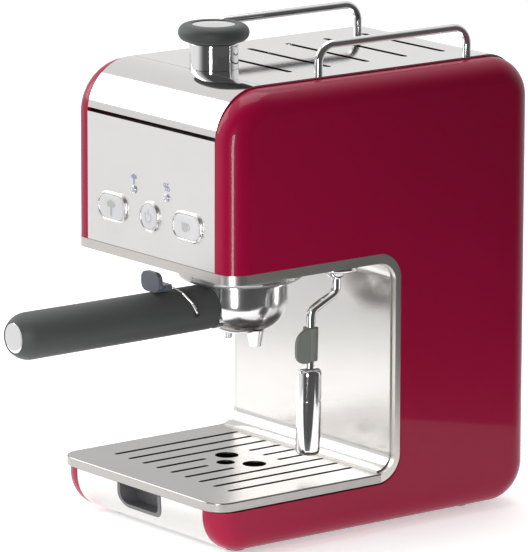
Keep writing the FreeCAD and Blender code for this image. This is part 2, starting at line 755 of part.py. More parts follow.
def heating_element():
    """Half-ring heating tube with its two ends up through the boiler's cover."""
    r, body, lid = boiler_dims()
    z = boiler_low() + 14
    major = r - 12
    bend = Part.makeTorus(major, 3.4, V(0, GROUP_Y, z), V(0, 0, 1), -180, 180, 180)
    top = boiler_low() + body + lid + 10
    for x, y in element_sites():
        bend = bend.fuse(cyl(3.4, (x, y, z), (0, 0, 1), top - z))
        bend = bend.fuse(Part.makeSphere(3.4, V(x, y, z)))
    return bend.removeSplitter()


def thermostats():
    r, body, lid = boiler_dims()
    z = boiler_low() + body + lid + 0.1
    discs = []
    for x, y in ((-14, GROUP_Y + 18), (14, GROUP_Y + 18), (0, GROUP_Y + 27)):
        base = cyl(6.0, (x, y, z), (0, 0, 1), 5)
        tabs = box(x - 4, x - 3.2, y - 2, y + 2, z + 5, z + 11).fuse(
            box(x + 3.2, x + 4, y - 2, y + 2, z + 5, z + 11))
        discs.append(base.fuse(tabs))
    return discs


def steam_valve():
    """Needle-valve block on the boiler's cover, under the knob."""
    _, body, lid = boiler_dims()
    z0 = boiler_low() + body + lid + 0.1
    z1 = z0 + 30
    block = box(-9, 9, KNOB_Y - 9, KNOB_Y + 9, z0, z1)
    neck = cyl(8, (0, KNOB_Y, z1), (0, 0, 1), 8)
    port = cyl(3.5, (9, KNOB_Y, z0 + 12), (1, 0, 0), 7)
    shape = block.fuse(neck).fuse(port)
    shape = shape.cut(cyl(SPINDLE_R + 0.05, (0, KNOB_Y, z0 + 14), (0, 0, 1), 40))
    shape = shape.cut(cyl(1.5, (0, KNOB_Y, z0 - 1), (0, 0, 1), 20))
    return shape.cut(cyl(1.5, (0, KNOB_Y, z0 + 12), (1, 0, 0), 20))


def valve_top():
    _, body, lid = boiler_dims()
    return boiler_low() + body + lid + 0.1 + 38


def steam_pipe():
    """Pipe from the valve's side port to the top of the wand's socket."""
    _, body, lid = boiler_dims()
    z = boiler_low() + body + lid + 12.1
    pts = [(16, KNOB_Y, z), (WAND_X, KNOB_Y, z), (WAND_X, WAND_Y, z),
           (WAND_X, WAND_Y, FLANGE_TOP + 1.0)]
    return tube(pts, 2.5, 9.0)


def group_collar():
    """Cast bayonet collar: wall, three lips inside, top plate and spigot to the boiler."""
    top = CEILING - GAP
    plate_low = RIM_TOP + 4.6
    wall = turned([(COLLAR_IN_R, COLLAR_LOW, 0.6), (COLLAR_R, COLLAR_LOW, 2.4),
                   (COLLAR_R, top, 0), (COLLAR_IN_R, top, 0)], 0, GROUP_Y)
    plate = cyl(COLLAR_IN_R + 0.5, (0, GROUP_Y, plate_low), (0, 0, 1), top - plate_low)
    spigot = cyl(group_hole_r() - 0.2, (0, GROUP_Y, top - 1), (0, 0, 1), FRAME_TOP + 1 + GAP)
    shape = wall.fuse(plate).fuse(spigot)
    for k in range(3):
        shape = shape.fuse(sector(TAB_INNER_R, COLLAR_IN_R + 0.5, (0, GROUP_Y), COLLAR_LOW + 0.4,
                                  TAB_TOP, tab_angle(k), TAB_SPAN))
    # blind pockets round the outside, with a thin lip left under them
    for k in range(5):
        shape = shape.cut(sector(COLLAR_R - 1.8, COLLAR_R + 1, (0, GROUP_Y), COLLAR_LOW + 1.6,
                                 COLLAR_LOW + 6.6, -76 + 72 * k, 27))
    for k in range(4):
        a = math.radians(45 + 90 * k)
        shape = shape.cut(cyl(1.5, (14 * math.cos(a), GROUP_Y + 14 * math.sin(a),
                                    plate_low - 1), (0, 0, 1), 40))
    return shape.cut(cyl(2.55, (0, GROUP_Y, plate_low - 1), (0, 0, 1), 8)).removeSplitter()


def ear_angle(k):
    return -90 + 120 * k


def tab_angle(k):
    """Lips run from just behind each ear to where the ear stops when locked."""
    return ear_angle(k) + (TAB_SPAN - EAR_SPAN) / 2.0 - 5


def group_gasket():
    z = RIM_TOP + 0.1
    return ring(RIM_R, BOWL_IN_R, (0, GROUP_Y, z), (0, 0, 1), 4.4)


def shower_screen():
    z = RIM_TOP + 2.3
    disc = cyl(BOWL_IN_R - 2, (0, GROUP_Y, z), (0, 0, 1), 1.0)
    rim = ring(BOWL_IN_R - 2, BOWL_IN_R - 3.2, (0, GROUP_Y, z), (0, 0, 1), 2.2)
    disc = disc.fuse(rim)
    for k in range(12):
        for r in (9.0, 15.0, 21.0):
            a = math.radians(30 * k + r)
            disc = disc.cut(cyl(0.9, (r * math.cos(a), GROUP_Y + r * math.sin(a), z - 1),
                                (0, 0, 1), 3))
    return disc.cut(cyl(2.55, (0, GROUP_Y, z - 1), (0, 0, 1), 5))


def screen_screw():
    z = RIM_TOP + 2.3
    head = cyl(5.0, (0, GROUP_Y, z - 2.0), (0, 0, 1), 2.0)
    shank = cyl(2.5, (0, GROUP_Y, z), (0, 0, 1), 7)
    return head.fuse(shank).cut(box(-6, 6, GROUP_Y - 0.6, GROUP_Y + 0.6, z - 2.5, z - 1.0))


# ------------------------------------------------------------------ filter holder

def bowl_profile(outer, low, round_r, top):
    return [(0, low), (outer, low, round_r), (outer, top), (0, top)]


def filter_holder():
    """Cast bowl with three ears, a square-shouldered neck and two outlets."""
    top = RIM_TOP
    bowl = turned(bowl_profile(BOWL_R, BOWL_LOW, BOWL_ROUND, top), 0, GROUP_Y)
    rim = cyl(RIM_R, (0, GROUP_Y, COLLAR_LOW - 2), (0, 0, 1), top - COLLAR_LOW + 2)
    neck = filter_neck()
    shape = bowl.fuse(neck).fuse(rim)
    for k in range(3):
        shape = shape.fuse(sector(BOWL_R, EAR_R, (0, GROUP_Y), TAB_TOP + TAB_CLEAR, top - 0.6,
                                  ear_angle(k), EAR_SPAN))
    inside = turned(bowl_profile(BOWL_IN_R, BOWL_LOW + BOWL_WALL + 1, BOWL_ROUND - 2, top + 1),
                    0, GROUP_Y)
    shape = shape.cut(inside)
    shape = shape.cut(cyl(BOWL_R - 0.4, (0, GROUP_Y, top - 1.3), (0, 0, 1), 3))
    back = GROUP_Y - BOWL_IN_R - 0.5
    shape = shape.cut(cyl(stud_r() + 0.02, (0, back - 10, HANDLE_Z), (0, 1, 0), 10))
    for side in (-1, 1):
        shape = shape.cut(cyl(2.6, (side * SPOUT_X * 0.6, GROUP_Y, BOWL_LOW - 2), (0, 0, 1), 12))
    return shape.removeSplitter()


def filter_neck():
    """Square-shouldered neck between the bowl and the handle's end."""
    half = HANDLE_R - 1.0
    z0, z1 = HANDLE_Z - half, HANDLE_Z + half
    block = box(-half, half, HANDLE_BACK, GROUP_Y - 8, z0, z1)
    edges = []
    for edge in block.Edges:
        b = edge.BoundBox
        if b.YMax - b.YMin > 5 and b.ZMax < z0 + 0.01:
            edges.append(edge)
    return block.makeFillet(half * 0.6, edges)


def stud_r():
    return 4.0


def spouts():
    """Twin spouts under the bowl, joined by a flat bridge."""
    z = BOWL_LOW
    rise = 3.0
    shape = box(-SPOUT_X, SPOUT_X, GROUP_Y - 3.5, GROUP_Y + 3.5, z - 2.0, z + rise)
    for side in (-1, 1):
        x = side * SPOUT_X
        cone = Part.makeCone(SPOUT_END_R, SPOUT_TOP_R, SPOUT_DROP + rise,
                             V(x, GROUP_Y, z - SPOUT_DROP), V(0, 0, 1))
        shape = shape.fuse(cone)
    bowl = turned(bowl_profile(BOWL_R + GAP, BOWL_LOW - GAP, BOWL_ROUND, RIM_TOP), 0, GROUP_Y)
    shape = shape.cut(bowl)
    for side in (-1, 1):
        x = side * SPOUT_X
        shape = shape.cut(cyl(2.6, (x, GROUP_Y, z - SPOUT_DROP - 1), (0, 0, 1), SPOUT_DROP - 1))
    return shape.removeSplitter()


def filter_basket():
    """Pressed steel basket with a flat rolled rim and a perforated floor."""
    top = RIM_TOP - 0.1
    r = BOWL_IN_R - 1.2
    t = 0.8
    cup = cyl(r, (0, GROUP_Y, top - BASKET_DEPTH), (0, 0, 1), BASKET_DEPTH)
    cup = cup.cut(cyl(r - t, (0, GROUP_Y, top - BASKET_DEPTH + t), (0, 0, 1), BASKET_DEPTH))
    rim = ring(BOWL_R - 0.6, r - t, (0, GROUP_Y, top - 1.1), (0, 0, 1), 1.1)
    cup = cup.fuse(rim)
    for k in range(8):
        a = math.radians(45 * k)
        for rad in (6.0, 13.0, 20.0):
            cup = cup.cut(cyl(0.8, (rad * math.cos(a), GROUP_Y + rad * math.sin(a),
                                    top - BASKET_DEPTH - 1), (0, 0, 1), 3))
    return cup.removeSplitter()


def handle_grip():
    """Rubber grip: slight taper, full rounded front, hollowed to the bowl at the back."""
    x, z = 0, HANDLE_Z
    y_nose = HANDLE_END + HANDLE_NOSE
    body = Part.makeCone(HANDLE_FRONT_R, HANDLE_R, HANDLE_BACK - y_nose, V(x, y_nose, z),
                         V(0, 1, 0))
    drop = HANDLE_FRONT_R - HANDLE_CAP_R
    nose_r = (drop * drop + HANDLE_NOSE * HANDLE_NOSE) / (2 * drop)
    start = V(x + HANDLE_FRONT_R, y_nose, z)
    turn = math.asin(HANDLE_NOSE / nose_r) / 2
    middle = V(x + HANDLE_FRONT_R - nose_r + nose_r * math.cos(turn),
               y_nose - nose_r * math.sin(turn), z)
    end = V(x + HANDLE_CAP_R, HANDLE_END, z)
    profile = Part.Wire([Part.Arc(start, middle, end).toShape(),
                         Part.LineSegment(end, V(x, HANDLE_END, z)).toShape(),
                         Part.LineSegment(V(x, HANDLE_END, z), V(x, y_nose, z)).toShape(),
                         Part.LineSegment(V(x, y_nose, z), start).toShape()])
    nose = Part.Face(profile).revolve(V(x, 0, z), V(0, 1, 0), 360)
    shape = body.fuse(nose).removeSplitter()
    shape = shape.cut(cyl(HANDLE_CAP_R - 0.4, (x, HANDLE_END - 1, z), (0, 1, 0), 3.5))
    shape = shape.cut(cyl(stud_r() + 0.02, (x, HANDLE_END + 20, z), (0, 1, 0), 200))
    shape = shape.cut(cyl(BOWL_R + 0.3, (0, GROUP_Y, z - 40), (0, 0, 1), 80))
    shape = shape.cut(cyl(RIM_R + 0.3, (0, GROUP_Y, COLLAR_LOW - 2.3), (0, 0, 1), 20))
    for side in (-1, 1):
        shape = shape.cut(cyl(BAIL_WIRE_R + 0.06, (side * 6.5, BAIL_PIVOT_Y, z), (side, 0, 0), 30))
        shape = shape.cut(cyl(2.2, (side * (HANDLE_R - 1.3), BAIL_PIVOT_Y, z), (side, 0, 0), 6))
    return shape


def handle_cap():
    """Domed chrome disc let into the end of the grip."""
    r = HANDLE_CAP_R - 0.45
    disc = cyl(r, (0, HANDLE_END, HANDLE_Z), (0, 1, 0), 2.4)
    rise = HANDLE_CAP_RISE
    sphere_r = (r * r + rise * rise) / (2 * rise)
    dome = Part.makeSphere(sphere_r, V(0, HANDLE_END - rise + sphere_r, HANDLE_Z))
    dome = dome.common(box(-r, r, HANDLE_END - rise - 1, HANDLE_END + 0.5, HANDLE_Z - r,
                           HANDLE_Z + r)).common(cyl(r, (0, HANDLE_END - 5, HANDLE_Z),
                                                     (0, 1, 0), 20))
    return disc.fuse(dome).removeSplitter()


def handle_stud():
    y0 = HANDLE_END + 22
    return cyl(stud_r(), (0, y0, HANDLE_Z), (0, 1, 0), GROUP_Y - BOWL_IN_R - 0.6 - y0)


def bail_top():
    """Height of the wire where it lies in the lever's foot."""
    return HANDLE_Z + HANDLE_FRONT_R + 1.9


def clip_wire():
    """Spring-wire bail: ends in the grip's sides, over the top and into the lever."""
    z = HANDLE_Z
    top = bail_top()
    lever_y = BAIL_PIVOT_Y - 14.0
    round_r = HANDLE_R + 1.5
    halves = []
    for side in (-1, 1):
        pts = [(side * 8.0, BAIL_PIVOT_Y, z), (side * round_r, BAIL_PIVOT_Y, z)]
        for k in (1, 2):
            a = math.radians(29 * k - 3)
            reach = round_r / math.cos(math.radians(15))
            pts.append((side * reach * math.cos(a), BAIL_PIVOT_Y - 4.0 * k,
                        z + reach * math.sin(a)))
        pts.append((side * 3.4, BAIL_PIVOT_Y - 12.0, top))
        pts.append((side * 3.4, lever_y - 7, top))
        halves.append(tube(pts, BAIL_WIRE_R, 2.2))
    bridge = cyl(BAIL_WIRE_R, (-3.4, lever_y - 7, top), (1, 0, 0), 6.8)
    return halves[0].fuse(halves[1]).fuse(bridge).fuse(
        Part.makeSphere(BAIL_WIRE_R, V(3.4, lever_y - 7, top))).fuse(
        Part.makeSphere(BAIL_WIRE_R, V(-3.4, lever_y - 7, top)))


def clip_lever():
    """Thumb lever: a foot on the grip and a rounded upright paddle at its front."""
    z = HANDLE_Z
    top = bail_top()
    y1 = BAIL_PIVOT_Y - 13.5
    y0 = BAIL_PIVOT_Y - 28.0
    z0 = z + HANDLE_FRONT_R + 0.4
    foot = box(-5.5, 5.5, y0, y1, z0, z0 + 4.2)
    paddle = front_slab(0, z0 + 7.0, 20.0, 13.6, 5.6, y0, y0 + 3.4)
    shape = foot.fuse(paddle)
    for side in (-1, 1):
        shape = shape.cut(cyl(BAIL_WIRE_R + 0.02, (side * 3.4, y1 - 9, top), (0, 1, 0), 12))
    shape = shape.cut(box(-4.45, 4.45, y1 - 8.5, y1 - 6.4, top - 1.0, top + 1.0))
    return shape


# ------------------------------------------------------------------ steam wand

def wand_socket():
    """Flanged cup under the head that the wand turns in."""
    top = CEILING - GAP
    low = CEILING - FLANGE_DROP
    flange = turned([(0, low), (FLANGE_R, low, 2.0), (FLANGE_R, top), (0, top)], WAND_X, WAND_Y)
    dome = Part.makeSphere(DOME_R, V(WAND_X, WAND_Y, low + 1.5))
    dome = dome.common(box(WAND_X - 20, WAND_X + 20, WAND_Y - 20, WAND_Y + 20, low - 20, low + 1))
    spigot = cyl(4.3, (WAND_X, WAND_Y, top - 0.5), (0, 0, 1), FRAME_TOP + 1.2)
    shape = flange.fuse(dome).fuse(spigot)
    shape = shape.cut(cyl(WAND_R + 0.06, (WAND_X, WAND_Y, low - 20), (0, 0, 1), 19))
    shape = shape.cut(cyl(wand_bead_r() + 0.05, (WAND_X, WAND_Y, low - 1.05), (0, 0, 1), 5.1))
    return shape.cut(cyl(1.5, (WAND_X, WAND_Y, low), (0, 0, 1), 30)).removeSplitter()


def wand_bead_r():
    return WAND_R + 1.6


def wand_foot_y():
    return WAND_Y - WAND_REACH


def lean():
    """The straight run leans forward a little."""
    return math.radians(1.5)


def wand_point(z):
    """Point on the straight run's axis at height z."""
    return (WAND_X, wand_foot_y() - (WAND_STRAIGHT_Z - z) * math.tan(lean()), z)


def wand_axis():
    return (0, -math.sin(lean()), -math.cos(lean()))


def steam_tube():
    low = CEILING - FLANGE_DROP
    z_bend = CEILING - WAND_BEND_Z
    pts = [(WAND_X, WAND_Y, low + 3.0), (WAND_X, WAND_Y, z_bend),
           (WAND_X, wand_foot_y(), WAND_STRAIGHT_Z), wand_point(SLEEVE_LOW + 12)]
    shape = tube(pts, WAND_R, 5.5)
    bead = cyl(wand_bead_r(), (WAND_X, WAND_Y, low - 1.0), (0, 0, 1), 5.0)
    shape = shape.fuse(bead)
    bore = tube(pts, 1.3, 5.5)
    return shape.cut(bore).removeSplitter()


def along_wand(z, step):
    p = wand_point(z)
    a = wand_axis()
    return (p[0] + a[0] * step, p[1] + a[1] * step, p[2] + a[2] * step)


def grip_top():
    return SLEEVE_TOP + 5.0 + GRIP_L


def wand_grip():
    """Insulating grip: a tube with a flat leaf-shaped wing."""
    axis = wand_axis()
    start = wand_point(grip_top())
    body = cyl(GRIP_R, start, axis, GRIP_L)
    y1 = start[1]
    y0 = y1 - GRIP_R - 10.0
    zc = grip_top() - GRIP_L / 2 - 0.5
    x = WAND_X + GRIP_R - 3.2
    leaf = side_slab(y0, y1 - 3.0, zc - 11.6, zc + 11.6, [7, 10, 1, 1], x, x + 2.4)
    shape = body.fuse(leaf)
    return shape.cut(cyl(WAND_R + 0.02, along_wand(grip_top(), -20), axis, 80))


def frother_sleeve():
    """Polished frothing sleeve with rounded ends and a seam ring."""
    axis = wand_axis()
    start = wand_point(SLEEVE_TOP)
    body = cyl(SLEEVE_R, start, axis, SLEEVE_L)
    edges = []
    for edge in body.Edges:
        if len(edge.Vertexes) == 1 and abs(edge.Length - 2 * math.pi * SLEEVE_R) < 0.1:
            edges.append(edge)
    body = body.makeFillet(4.5, edges)
    groove = ring(SLEEVE_R + 1, SLEEVE_R - 0.5, along_wand(SLEEVE_TOP, 22.0), axis, 0.8)
    body = body.cut(groove)
    body = body.cut(cyl(WAND_R + 0.06, along_wand(SLEEVE_TOP, -3), axis, SLEEVE_L - 6))
    wide = cyl(SLEEVE_R - 1.6, along_wand(SLEEVE_TOP, SLEEVE_L - 11), axis, 20)
    return body.cut(wide)


# ------------------------------------------------------------------ steam knob

def knob_column():
    z0 = DECK_Z + GAP
    column = turned([(SPINDLE_R + 1, z0), (KNOB_COLUMN_R, z0), (KNOB_COLUMN_R, z0 + KNOB_COLUMN_H,
                    1.5), (SPINDLE_R + 1, z0 + KNOB_COLUMN_H)], 0, KNOB_Y)
    return column


def knob_low():
    return DECK_Z + GAP + KNOB_COLUMN_H + 0.4


def knob_grip():
    """Rubber ring: a fat rounded rim round a flat-bottomed dish for the disc."""
    low = knob_low()
    top = low + KNOB_THICK
    half = KNOB_THICK / 2
    profile = [(SPINDLE_R, low), (KNOB_R, low, half - 0.05), (KNOB_R, top, half - 0.05),
               (KNOB_DISC_R + 0.1, top, 0), (KNOB_DISC_R + 0.1, top - 1.6), (SPINDLE_R, top - 1.6)]
    return turned(profile, 0, KNOB_Y)


def knob_cap():
    top = knob_low() + KNOB_THICK
    return turned([(0, top - 1.5), (KNOB_DISC_R, top - 1.5), (KNOB_DISC_R, top - 0.4, 0.3),
                   (0, top + 0.3)], 0, KNOB_Y)


def valve_spindle():
    """Spindle from the needle valve up through the deck into the knob."""
    z0 = valve_top() - 20
    z1 = knob_low() + KNOB_THICK - 1.7
    shaft = cyl(SPINDLE_R - 0.02, (0, KNOB_Y, z0), (0, 0, 1), z1 - z0)
    needle = Part.makeCone(0.6, SPINDLE_R - 1.0, 4, V(0, KNOB_Y, z0 - 4), V(0, 0, 1))
    return shaft.fuse(needle)


# ------------------------------------------------------------------ drip tray

def pull_slab(shrink, y0, y1):
    """Finger pull's outline: open at the top, rounded at the bottom."""
    half = PULL_W / 2 - shrink
    z1 = BASE_TOP + 1
    z0 = BASE_TOP - PULL_DROP + shrink
    corners = [(V(-half, y0, z0), PULL_R - shrink), (V(half, y0, z0), PULL_R - shrink),
               (V(half, y0, z1), 0), (V(-half, y0, z1), 0)]
    return Part.Face(rounded_wire(corners)).extrude(V(0, y1 - y0, 0))


def front_section(inset, x0, x1):
    radius = R_FRONT_BOTTOM - inset
    return side_slab(BASE_FRONT + inset, BASE_FRONT + R_FRONT_BOTTOM + 4, FOOT_H + inset,
                     BASE_TOP, [radius, 0, 0, 0], x0, x1)


def tray_front():
    """Polished front between the panels, rolled under at its foot."""
    x = INNER - GAP_MOVE
    sheet = front_section(0, -x, x).cut(front_section(SHEET, -x - 1, x + 1))
    sheet = sheet.cut(box(-x - 1, x + 1, BASE_FRONT + R_FRONT_BOTTOM, 100, 0, 200))
    return sheet.cut(pull_slab(0, BASE_FRONT - 5, BASE_FRONT + 20))


def tray_bezel():
    """Moulded finger pull: a rim in the opening and a pocket behind it."""
    y0, y1 = BASE_FRONT - 2, BASE_FRONT + PULL_DEPTH
    cup = pull_slab(GAP, y0, y1)
    x = PULL_W
    cup = cup.common(side_slab(BASE_FRONT - 0.4, 60, FOOT_H, BASE_TOP - 0.3,
                               [R_FRONT_BOTTOM, 0, 0, 0], -x, x))
    return cup.cut(pull_slab(PULL_RIM, y0 - 1, y1 - 1.6))


def tray_basin():
    """Open basin that carries the front and the grille."""
    x = INNER - 2.0
    y0 = BASE_FRONT + PULL_DEPTH + GAP
    y1 = GRILLE_REAR - 2
    z1 = GRILLE_TOP - GRILLE_SHEET - GAP
    outer = plan_slab(-x, x, y0, y1, [3, 3, 10, 10], BASIN_FLOOR, z1)
    w = BASIN_WALL
    inner = plan_slab(-x + w, x - w, y0 + w, y1 - w, [2, 2, 8, 8], BASIN_FLOOR + w, z1 + 1)
    basin = outer.cut(inner)
    for side in (-1, 1):
        lug_x0 = side * (INNER - 30)
        lug_x1 = side * (INNER - 14)
        lug = box(min(lug_x0, lug_x1), max(lug_x0, lug_x1), BASE_FRONT + SHEET + 0.2, y0 + 0.5,
                  BASE_TOP - 6, BASE_TOP - 1)
        basin = basin.fuse(lug)
    return basin.removeSplitter()


def grille():
    """Pressed plate with a turned-down rim, drain slots and three round holes."""
    x = HALF
    t = GRILLE_SHEET
    r = GRILLE_CORNER
    outer = plan_slab(-x, x, GRILLE_FRONT, GRILLE_REAR, [r, r, 0, 0], RIM_LOW, GRILLE_TOP)
    edges = []
    for edge in outer.Edges:
        b = edge.BoundBox
        if b.ZMin > GRILLE_TOP - 0.01 and b.YMin < GRILLE_REAR - 0.5:
            edges.append(edge)
    outer = outer.makeFillet(1.0, edges)
    inner = plan_slab(-x + t, x - t, GRILLE_FRONT + t, GRILLE_REAR + 1, [r - t, r - t, 0, 0],
                      RIM_LOW - 1, GRILLE_TOP - t)
    plate = outer.cut(inner)
    z0, z1 = GRILLE_TOP - 5, GRILLE_TOP + 5
    side_hole = SLOT_PITCH * 0.97
    for i in range(SLOT_COUNT):
        k = i - (SLOT_COUNT - 1) / 2
        sx = k * SLOT_PITCH
        if abs(k) > 1.5:
            plate = plate.cut(slot_z(sx, SLOT_FRONT, SLOT_REAR, SLOT_W, z0, z1))
            continue
        gap_front = GROUP_Y - HOLE_R_SIDE - HOLE_CLEAR
        if abs(k) < 0.5:
            gap_front = GROUP_Y - 13 - HOLE_R_MID - HOLE_CLEAR + 1
        gap_rear = GROUP_Y + HOLE_R_SIDE + HOLE_CLEAR + 2
        plate = plate.cut(slot_z(sx, SLOT_FRONT, gap_front, SLOT_W, z0, z1))
        plate = plate.cut(slot_z(sx, gap_rear, SLOT_REAR, SLOT_W, z0, z1))
    for side in (-1, 1):
        plate = plate.cut(cyl(HOLE_R_SIDE, (side * side_hole, GROUP_Y, z0), (0, 0, 1), 10))
    return plate.cut(cyl(HOLE_R_MID, (0, GROUP_Y - 13, z0), (0, 0, 1), 10))


# ------------------------------------------------------------------ nodes

def build():
    panel = side_panel()
    export("side_panel_right", panel)
    export("side_panel_left", mirror_x(panel))
    export("top_wrap", top_wrap())
    export("fascia", fascia())
    export("cavity_frame", cavity_frame())
    export("cavity_sheet", cavity_sheet())
    export("base_pan", base_pan())
    export("rear_panel", rear_panel())
    export("chassis", chassis())
    export("cup_rail_left", cup_rail(-1))
    export("cup_rail_right", cup_rail(1))
    export("rail_nuts", *rail_nuts())
    export("feet", *feet())
    export("case_screws", *case_screws())
    export("power_inlet", power_inlet())

    export("button_bezels", *[button_bezel(x, oval) for _, x, oval in button_sites()])
    for name, x, oval in button_sites():
        export("button_" + name, button_cap(x, oval))
    export("switches", *switches())
    export("control_board", control_board())
    export("lamp_lenses", *lamp_lenses())

    export("group_collar", group_collar())
    export("group_gasket", group_gasket())
    export("shower_screen", shower_screen())
    export("screen_screw", screen_screw())
    export("boiler_body", boiler_body())
    export("boiler_cover", boiler_cover())
    export("boiler_screws", *boiler_screws())
    export("heating_element", heating_element())
    export("thermostats", *thermostats())
    export("steam_valve", steam_valve())
    export("steam_pipe", steam_pipe())
    export("pump", pump())
    export("suction_hose", suction_hose())
    export("pressure_hose", pressure_hose())

    export("water_tank", water_tank())
    export("tank_valve", tank_valve())
    export("tank_lid", tank_lid())
    export("tank_seat", tank_seat())

    export("filter_holder", filter_holder())
    export("spouts", spouts())
    export("filter_basket", filter_basket())
    export("handle_stud", handle_stud())
    export("handle_grip", handle_grip())
    export("handle_cap", handle_cap())
    export("clip_wire", clip_wire())
    export("clip_lever", clip_lever())

    export("wand_socket", wand_socket())
    export("steam_tube", steam_tube())
    export("wand_grip", wand_grip())
    export("frother_sleeve", frother_sleeve())

    export("knob_column", knob_column())
    export("knob_grip", knob_grip())
    export("knob_cap", knob_cap())
    export("valve_spindle", valve_spindle())

    export("tray_basin", tray_basin())
    export("tray_front", tray_front())
    export("tray_bezel", tray_bezel())
    export("grille", grille())


build()
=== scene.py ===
import math

import bmesh
import bpy
from mathutils import Matrix, Quaternion, Vector


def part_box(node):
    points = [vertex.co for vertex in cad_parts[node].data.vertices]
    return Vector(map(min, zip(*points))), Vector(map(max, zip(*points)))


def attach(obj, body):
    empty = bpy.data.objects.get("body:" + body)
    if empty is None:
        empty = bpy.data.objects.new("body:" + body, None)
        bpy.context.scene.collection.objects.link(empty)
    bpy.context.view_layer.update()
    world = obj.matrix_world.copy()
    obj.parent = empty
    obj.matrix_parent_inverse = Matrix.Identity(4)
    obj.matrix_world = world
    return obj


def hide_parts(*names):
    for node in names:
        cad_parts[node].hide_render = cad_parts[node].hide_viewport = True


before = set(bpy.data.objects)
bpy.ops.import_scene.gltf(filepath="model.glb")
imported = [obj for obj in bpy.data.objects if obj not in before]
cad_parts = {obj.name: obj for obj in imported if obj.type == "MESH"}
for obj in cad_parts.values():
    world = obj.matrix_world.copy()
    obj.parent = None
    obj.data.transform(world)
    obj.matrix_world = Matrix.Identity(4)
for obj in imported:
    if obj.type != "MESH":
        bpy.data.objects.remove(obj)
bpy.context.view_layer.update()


# ---------------------------------------------------------------- benchwork helpers

def clear_selection():
    """Puts every piece down, so that the next tool only touches what is picked."""
    if bpy.context.object and bpy.context.object.mode != "OBJECT":
        bpy.ops.object.mode_set(mode="OBJECT")
    bpy.ops.object.select_all(action="DESELECT")


def pick(piece):
    """Makes one piece the only one selected and active."""
    clear_selection()
    piece.select_set(True)
    bpy.context.view_layer.objects.active = piece


def settle(piece):
    """Leaves the piece's object at the origin, with its place in its mesh."""
    pick(piece)
    bpy.ops.object.transform_apply(location=True, rotation=True, scale=True)


def apply_all(piece):
    """Makes every modifier on the piece final."""
    pick(piece)
    for name in [modifier.name for modifier in piece.modifiers]:
        bpy.ops.object.modifier_apply(modifier=name)


# ---------------------------------------------------------------- finishes

def new_finish(name, colour, metal=0.0, rough=0.4):
    """A finish with its plain values set, ready for grain and wear."""
    material = bpy.data.materials.new(name)
    material.use_nodes = True
    tree = material.node_tree
    shader = tree.nodes["Principled BSDF"]
    shader.inputs["Base Color"].default_value = (*colour, 1.0)
    shader.inputs["Metallic"].default_value = metal
    shader.inputs["Roughness"].default_value = rough
    return material, tree, shader


def place_on_piece(tree, stretch=(1.0, 1.0, 1.0)):
    """Pattern space that stays with the piece, stretched along its axes."""
    coords = tree.nodes.new("ShaderNodeTexCoord")
    mapping = tree.nodes.new("ShaderNodeMapping")
    mapping.inputs["Scale"].default_value = stretch
    tree.links.new(coords.outputs["Object"], mapping.inputs["Vector"])
    return mapping.outputs["Vector"]


def cloudy(tree, vector, size, detail=3.0, roughness=0.5):
    """Soft random pattern."""
    noise = tree.nodes.new("ShaderNodeTexNoise")
    noise.inputs["Scale"].default_value = size
    noise.inputs["Detail"].default_value = detail
    noise.inputs["Roughness"].default_value = roughness
    tree.links.new(vector, noise.inputs["Vector"])
    return noise.outputs["Fac"]


def spread(tree, value, low, high):
    """Turns a 0 to 1 pattern into the range low to high."""
    ramp = tree.nodes.new("ShaderNodeMapRange")
    ramp.inputs["To Min"].default_value = low
    ramp.inputs["To Max"].default_value = high
    tree.links.new(value, ramp.inputs["Value"])
    return ramp.outputs["Result"]


def shade_between(tree, value, dark, light):
    """Colour that wanders between two shades with the pattern."""
    mix = tree.nodes.new("ShaderNodeMix")
    mix.data_type = "RGBA"
    mix.inputs["A"].default_value = (*dark, 1.0)
    mix.inputs["B"].default_value = (*light, 1.0)
    tree.links.new(value, mix.inputs["Factor"])
    return mix.outputs["Result"]


def raise_surface(tree, shader, height, strength, distance):
    """Fine relief from a pattern."""
    bump = tree.nodes.new("ShaderNodeBump")
    bump.inputs["Strength"].default_value = strength
    bump.inputs["Distance"].default_value = distance
    tree.links.new(height, bump.inputs["Height"])
    tree.links.new(bump.outputs["Normal"], shader.inputs["Normal"])


def red_enamel():
    """Deep raspberry enamel under a clear coat, with a trace of orange peel."""
    material, tree, shader = new_finish("red_enamel", (0.31, 0.0012, 0.036), rough=0.34)
    space = place_on_piece(tree)
    drift = cloudy(tree, space, 9.0)
    tint = shade_between(tree, drift, (0.295, 0.001, 0.033), (0.325, 0.0015, 0.041))
    tree.links.new(tint, shader.inputs["Base Color"])
    tree.links.new(spread(tree, cloudy(tree, space, 60.0), 0.28, 0.36),
                   shader.inputs["Roughness"])
    shader.inputs["Specular IOR Level"].default_value = 0.1
    shader.inputs["Coat Weight"].default_value = 0.3
    shader.inputs["Coat Roughness"].default_value = 0.05
    raise_surface(tree, shader, cloudy(tree, space, 420.0, 1.0), 0.05, 0.0004)
    return material


def rolled_steel(name, colour, rough, grain, strength=0.06):
    """Sheet steel with a fine grain that runs along one axis."""
    material, tree, shader = new_finish(name, colour, metal=1.0, rough=rough)
    space = place_on_piece(tree, grain)
    lines = cloudy(tree, space, 40.0, 4.0, 0.6)
    patches = cloudy(tree, place_on_piece(tree), 14.0)
    tree.links.new(spread(tree, lines, rough * 0.8, rough * 1.25), shader.inputs["Roughness"])
    light = tuple(min(1.0, c * 1.06) for c in colour)
    dark = tuple(c * 0.94 for c in colour)
    tree.links.new(shade_between(tree, patches, dark, light), shader.inputs["Base Color"])
    raise_surface(tree, shader, lines, strength, 0.0002)
    return material


